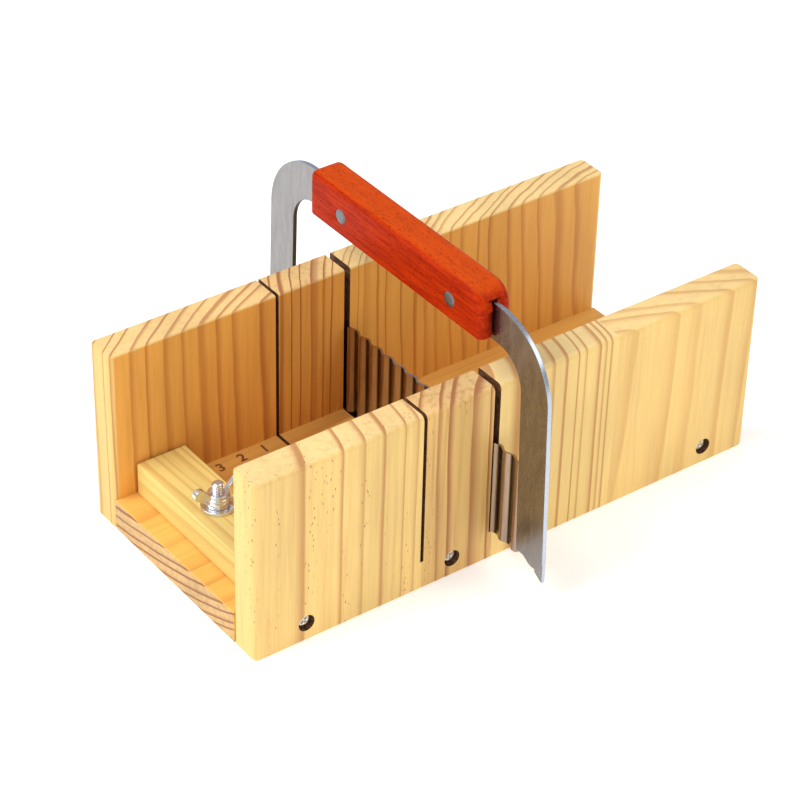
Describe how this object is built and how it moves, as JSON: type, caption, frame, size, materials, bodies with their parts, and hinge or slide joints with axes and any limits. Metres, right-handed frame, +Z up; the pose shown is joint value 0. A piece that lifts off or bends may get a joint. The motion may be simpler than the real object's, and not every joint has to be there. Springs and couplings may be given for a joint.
{
  "type": "soap loaf mould",
  "caption": "Open-ended pine box for cutting a soap loaf, with slotted sides, a sliding clamped end stop and a crinkle cutter with a red wooden handle standing in its slot.",
  "frame": {"origin": "centre of the box's underside", "axes": "+X along the box to its open end, +Y to the rear side board, +Z up"},
  "size_m": [0.3, 0.2292, 0.1522],
  "materials": {
    "pine": "sanded, no varnish, upright grain",
    "pale_pine": "sanded, pale, grain across the box",
    "red_hardwood": "stained and oiled, open pores",
    "blade_steel": "satin stainless",
    "zinc_steel": "bright zinc plate",
    "rivet_steel": "ground flush",
    "screw_steel": "dark bronze, worn at the recess"
  },
  "bodies": {
    "box": {"front_side_board": "pine", "rear_side_board": "pine", "base_board": "pine", "front_screw_1": "screw_steel", "front_screw_2": "screw_steel", "front_screw_3": "screw_steel", "rear_screw_1": "screw_steel", "rear_screw_2": "screw_steel", "rear_screw_3": "screw_steel"},
    "stop": {"stop_block": "pale_pine", "clamp_bolt": "zinc_steel", "flat_washer": "zinc_steel"},
    "nut": {"wing_nut": "zinc_steel"},
    "cutter": {"cutter_blade": "blade_steel", "handle": "red_hardwood", "near_rivet": "rivet_steel", "far_rivet": "rivet_steel"}
  },
  "joints": [
    {"name": "stop_slide", "type": "slide", "parent": "box", "child": "stop", "axis": [1, 0, 0], "range_m": [-0.007, 0.048]},
    {"name": "nut_turn", "type": "hinge", "parent": "stop", "child": "nut", "pos_m": [-0.124, 0, 0.0375], "axis": [0, 0, 1], "range_deg": [0, 720]},
    {"name": "cutter_lift", "type": "slide", "parent": "box", "child": "cutter", "axis": [0, 0, 1], "range_m": [0, 0.09]}
  ]
}
